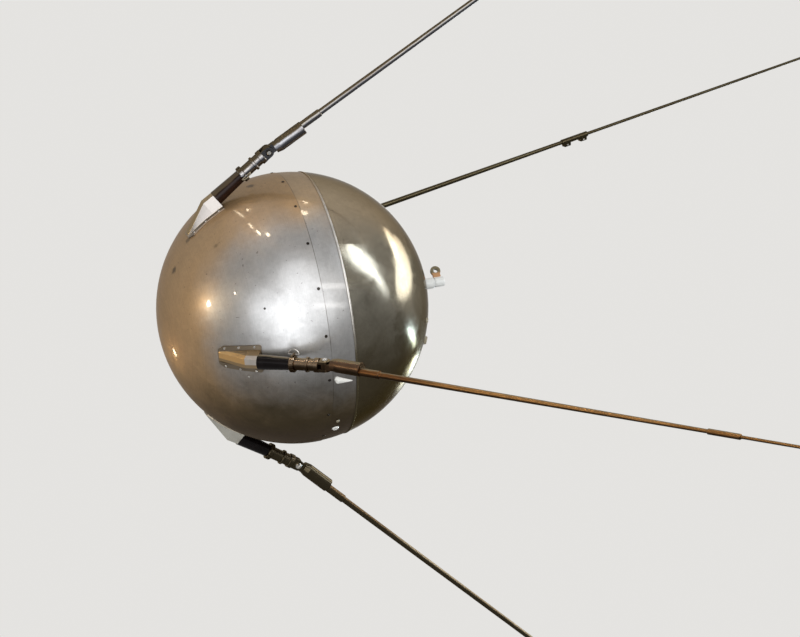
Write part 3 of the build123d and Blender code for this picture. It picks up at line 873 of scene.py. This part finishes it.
def pin_caps(tree, finish):
    """Slots in the heads of the hinge pins."""
    places = []
    for angle, _, _, _ in ANTENNAS.values():
        axes = swept(angle, MOUNT_ANGLE)
        for side in (-1, 1):
            point = Vector((HINGE_ALONG, side * PIN_END, AXIS_R))
            places.append((axes @ point, axes @ Vector((0, side, 0))))
    screws("pin_caps", tree, places, finish, **SCREW_HEADS["pin"])


def clamp_screws(tree, finish):
    """Screws through the clamp blocks of each coupler."""
    for name, (angle, length, rest, turn) in ANTENNAS.items():
        pin = swept(angle, MOUNT_ANGLE) @ Vector((HINGE_ALONG, 0, AXIS_R))
        axes = swept(angle, rest)
        out = Vector((0, math.cos(math.radians(turn)), math.sin(math.radians(turn))))
        across = Vector((0, -out.z, out.y))
        places = []
        for offset in (-BOSS_OFFSET, BOSS_OFFSET):
            for side in (-1, 1):
                point = Vector((length * COUPLER_AT + offset, 0, ROD_LIFT))
                point += out * BOSS_SCREW_REACH + across * side * BOSS_HALF_HEIGHT
                places.append((pin + axes @ point, axes @ (across * side)))
        screws("clamp_screws_" + name, tree, places, finish,
               body="antenna_" + name, slot="coupler_metal", **SCREW_HEADS["clamp"])


def keep_mesh(name, build, finish):
    """Turn a bmesh into a smooth piece that rides on the ball."""
    bmesh.ops.recalc_face_normals(build, faces=build.faces)
    mesh = bpy.data.meshes.new(name)
    build.to_mesh(mesh)
    build.free()
    for face in mesh.polygons:
        face.use_smooth = True
    mesh.materials.append(finish)
    made = linked(name, mesh)
    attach(made, "ball")


def skin(build, rings):
    """Faces from each ring of points to the next."""
    for here, after in zip(rings, rings[1:]):
        for index in range(len(here)):
            other = (index + 1) % len(here)
            build.faces.new((here[index], here[other], after[other], after[index]))


def seam_bead(finish):
    """Raised rolled edge of the rear shield, all round."""
    steps, points, sunk = 192, 8, 0.0003
    centre_r = math.sqrt(BALL_R**2 - SEAM_X**2)
    slope = math.atan2(-SEAM_X, centre_r)
    nose = Vector((1, 0, 0))
    build = bmesh.new()
    rings = []
    for step in range(steps):
        turn = 2 * math.pi * step / steps
        radial = Vector((0, math.sin(turn), math.cos(turn)))
        normal = radial * math.cos(slope) - nose * math.sin(slope)
        across = radial * math.sin(slope) + nose * math.cos(slope)
        middle = radial * centre_r + nose * SEAM_X - normal * sunk
        ring = []
        for index in range(points + 1):
            part = math.pi * index / points
            offset = across * SEAM_HALF_WIDTH * math.cos(part) + normal * SEAM_HEIGHT * math.sin(part)
            ring.append(build.verts.new(middle + offset))
        rings.append(ring)
    skin(build, rings + rings[:1])
    keep_mesh("shield_seam", build, finish)


def band_cover(finish):
    """Streamlined half cone on the bare band."""
    steps, points, sunk = 12, 12, 0.0012
    build = bmesh.new()
    rings = []
    for step in range(steps + 1):
        part = step / steps
        rounded = math.sqrt(max(0.0, 1 - (1 - min(part / COVER_WIDEST, 1)) ** 2))
        tapered = 1 - COVER_TAPER * max(0, part - COVER_WIDEST) / (1 - COVER_WIDEST)
        swell = max(rounded * tapered, COVER_LEAST)
        x = COVER_START_X - COVER_LENGTH * part
        turn = math.radians(COVER_AZIMUTHS[0] * (1 - part) + COVER_AZIMUTHS[1] * part)
        radial = Vector((0, math.sin(turn), math.cos(turn)))
        side = Vector((0, math.cos(turn), -math.sin(turn)))
        base = radial * (math.sqrt(BAND_R**2 - x**2) - sunk) + Vector((x, 0, 0))
        ring = []
        for index in range(points + 1):
            arc = math.pi * index / points
            offset = side * COVER_HALF_WIDTH * swell * math.cos(arc)
            offset += radial * (COVER_HEIGHT * swell + sunk) * math.sin(arc)
            ring.append(build.verts.new(base + offset))
        rings.append(ring)
    skin(build, rings)
    build.faces.new(rings[0])
    build.faces.new(rings[-1])
    keep_mesh("band_cover", build, finish)


def stub_sleeve(finish):
    """White sleeve with a rounded lip round the root of the hanging stub."""
    steps = 32
    build = bmesh.new()
    rings = []
    for x, radius in SLEEVE_PROFILE:
        ring = []
        for step in range(steps):
            turn = 2 * math.pi * step / steps
            ring.append(build.verts.new((x, radius * math.sin(turn), radius * math.cos(turn))))
        rings.append(ring)
    skin(build, rings + rings[:1])
    keep_mesh("stub_sleeve", build, finish)


def view_point(right, up, back):
    """Point given along the photograph's own right, up and back axes from the ball's centre."""
    return VIEW_RIGHT * right + VIEW_UP * up + VIEW_BACK * back


def lamp_for_glint(name, shape, right, up, distance, width, height, watts, colour, roll):
    """Softbox whose mirror image lies at a place on the ball, as shares of its radius."""
    normal = view_point(right, up, math.sqrt(1 - right**2 - up**2))
    towards = 2 * normal.dot(VIEW_BACK) * normal - VIEW_BACK
    data = bpy.data.lights.new(name, "AREA")
    data.shape = shape
    data.size, data.size_y = width, height
    data.spread = math.radians(LAMP_SPREAD)
    data.energy = watts
    data.color = colour
    made = linked(name, data)
    aim = (-towards).to_track_quat("-Z", "Y").to_matrix().to_4x4()
    made.matrix_world = (Matrix.Translation(towards * distance) @ aim
                         @ Matrix.Rotation(math.radians(roll), 4, "Z"))
    made.visible_camera = False


def camera():
    """Camera at the photograph's viewing angle."""
    data = bpy.data.cameras.new("camera")
    data.lens = LENS
    data.sensor_width = SENSOR_WIDTH
    data.clip_end = 200.0
    made = linked("camera", data)
    axes = Matrix((VIEW_RIGHT, VIEW_UP, VIEW_BACK)).transposed().to_4x4()
    made.matrix_world = Matrix.Translation(view_point(*VIEW_OFFSET)) @ axes
    bpy.context.scene.camera = made


def floor():
    """Pale floor, seen from above only, that fades into the backdrop far out."""
    bpy.ops.mesh.primitive_circle_add(
        vertices=96, radius=FLOOR_RADIUS, fill_type="TRIFAN", location=(0, 0, 0))
    made = bpy.context.object
    made.name = "studio_floor"
    made.data.transform(Matrix.Translation((0, 0, FLOOR_Z)))
    material, tree, shader, place = start_material("pale_floor")
    shader.inputs["Base Color"].default_value = opaque(FLOOR_TINT)
    shader.inputs["Roughness"].default_value = 0.9
    flat = vector_maths(tree, "MULTIPLY", "Vector", place, (1, 1, 0))
    reach = vector_maths(tree, "LENGTH", "Value", flat)
    gone = ramp(tree, reach, *FLOOR_FADE)
    under = add(tree, "ShaderNodeNewGeometry").outputs["Backfacing"]
    share = maths(tree, "MAXIMUM", gone, under)
    clear = add(tree, "ShaderNodeBsdfTransparent")
    both = add(tree, "ShaderNodeMixShader", {0: share, 1: shader.outputs[0], 2: clear.outputs[0]})
    tree.links.new(both.outputs[0], tree.nodes["Material Output"].inputs["Surface"])
    made.data.materials.append(material)


def backdrop():
    """Plain pale surroundings, brightest behind the object."""
    world = bpy.data.worlds.new("studio")
    bpy.context.scene.world = world
    world.use_nodes = True
    tree = world.node_tree
    direction = add(tree, "ShaderNodeTexCoord").outputs["Generated"]
    behind = dot(tree, direction, -VIEW_BACK)
    share = ramp(tree, behind, *BACKDROP_EDGE)
    rise = add(tree, "ShaderNodeSeparateXYZ", {0: direction}).outputs["Z"]
    around = mixed(tree, ramp(tree, rise, *AMBIENT_RISE), LOW_AMBIENT, HIGH_AMBIENT)
    colour = mixed(tree, share, around, BACKDROP_TINT)
    tree.links.new(colour, tree.nodes["Background"].inputs["Color"])


def shell_finishes(groups):
    """Materials of the ball's sheets and of the seam between them."""
    # front shield and band: warm and darker away from the camera, partly painted shade round the rim, and
    # darker towards the bottom as painted shade
    front = shell_metal(
        "front_shield_sheet", groups, (CLEAN_SHEET, (0.42, 0.275, 0.145), SHEET_SHADE_AND_MARKS),
        warm=(WARM_SIDE, -0.92, -0.54), dark_marks=FRONT_DARK_MARKS, glossy=GLOSSY_SPOTS, **SATIN_SHEET)
    band = shell_metal(
        "bare_band", groups, (CLEAN_SHEET, (0.43, 0.31, 0.19), SHEET_SHADE_AND_MARKS),
        warm=(WARM_SIDE, -0.87, -0.47), lines=BAND_LINES, **SATIN_SHEET)
    # rear shield: lighter and warmer towards the top, and darker towards the bottom as painted shade
    rear = shell_metal(
        "rear_shield_sheet", groups, ((0.37, 0.345, 0.28), (0.50, 0.385, 0.25), (0.105, 0.086, 0.054)),
        warm=((-0.10, 0.20, 0.97), 0.10, 0.55), low_shade=((0.0, -0.20, -0.98), 0.12, 0.75),
        roughness=(0.07, 0.22), coat=0.0, edge=(0.46, 0.42, 0.36),
        dark_marks=REAR_DARK_MARKS, lines=REAR_LINES)
    # seam: warmer towards one side and darker towards the bottom as painted shade
    seam = shell_metal(
        "seam_metal", groups, ((0.66, 0.64, 0.60), (0.48, 0.37, 0.24), (0.12, 0.10, 0.06)),
        warm=((0.0, -0.70, 0.71), -0.55, 0.10), low_shade=((0.0, -0.44, -0.90), -0.10, 0.45),
        roughness=(0.36, 0.46), coat=0.0, edge=(0.5, 0.45, 0.38))
    return {"front_shield": front, "rear_shield": rear, "rear_hull": band, "front_hull": band, "seam": seam}


def antenna_finishes(name, tints, groups):
    """Materials of one antenna's parts."""
    angle, _, rest, _ = ANTENNAS[name]
    mount = swept(angle, MOUNT_ANGLE)
    mount_axis, mount_side = tuple(mount.col[0]), tuple(mount.col[1])
    rod_axis = tuple(swept(angle, rest).col[0])
    # dust with painted top light on upper sides, and painted shade on lower ones
    sides = {key: tints[key] for key in ("dust_and_top_light", "shade", "dust_and_light_rise")}
    rod = rod_metal("rod_metal_" + name, groups, tints, rod_axis)
    foot = foot_metal("foot_metal_" + name, groups, tints, mount_axis, mount_side)
    insulator = insulator_material("insulator_" + name, groups, tints)
    ferrule = metal(
        "ferrule_metal_" + name, groups, tints["ferrule"], 0.40, 0.20, mount_axis, cloud=60.0, **sides)
    socket = metal(
        "socket_metal_" + name, groups, tints["socket"], 0.35, 0.24, rod_axis, cloud=40.0, **sides)
    return {
        "foot": foot,
        "insulator": insulator,
        "ferrule": ferrule,
        "rod_socket": socket,
        "lower_rod": rod,
        "coupler": rod,
        "upper_rod": rod,
    }


def finishes():
    """All materials, by node or piece name."""
    groups = {
        "patina": patina_group(),
        "patina_and_shade": patina_and_shade_group(),
        "dark_mark": dark_mark_group(),
        "edge_line_and_shadow": edge_line_and_shadow_group(),
        "grain": grain_group(),
        "facets": facet_group(),
        "facing": facing_group(),
        "streaks": streak_group(),
    }
    made = shell_finishes(groups)
    nose = (1.0, 0.0, 0.0)
    made["hanging_stub"] = stub_material(groups)
    made["white"] = painted("white_paint", groups, (0.78, 0.77, 0.72), 0.30)
    made["dull"] = painted("dull_paint", groups, (0.30, 0.26, 0.18), 0.40)
    made["battery_block"] = metal("battery_case", groups, (0.30, 0.30, 0.30), 0.4, 0.5, nose)
    made["bright"] = metal("bright_steel", groups, (0.70, 0.68, 0.64), 0.25, 0.18, nose, cloud=200.0)
    made["dark"] = metal("dark_steel", groups, (0.05, 0.045, 0.04), 0.4, 0.30, nose, cloud=200.0)
    for name, tints in ANTENNA_TINTS.items():
        for piece, finish in antenna_finishes(name, tints, groups).items():
            made[piece + "_" + name] = finish
        made["hinge_pin_" + name] = made["pull_ring_" + name] = made["bright"]
    made["pull_ring_upper_left"] = made["dull"]
    made["hinge_pin_upper_left"] = made["dark"]
    return made


def dress():
    """Give every CAD node its material and add the trim."""
    made = finishes()
    for name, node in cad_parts.items():
        node.data.materials.clear()
        node.data.materials.append(made[name])
    tree = screw_tree()
    joint_screws(tree, made["dark"])
    studs(tree, made)
    foot_screws(tree, made)
    pin_caps(tree, made["bright"])
    clamp_screws(tree, made["bright"])
    seam_bead(made["seam"])
    band_cover(made["white"])
    stub_sleeve(made["hanging_stub"])


dress()
camera()
floor()
backdrop()
for lamp in LAMPS:
    lamp_for_glint(*lamp)
bpy.context.scene.view_settings.view_transform = "Standard"
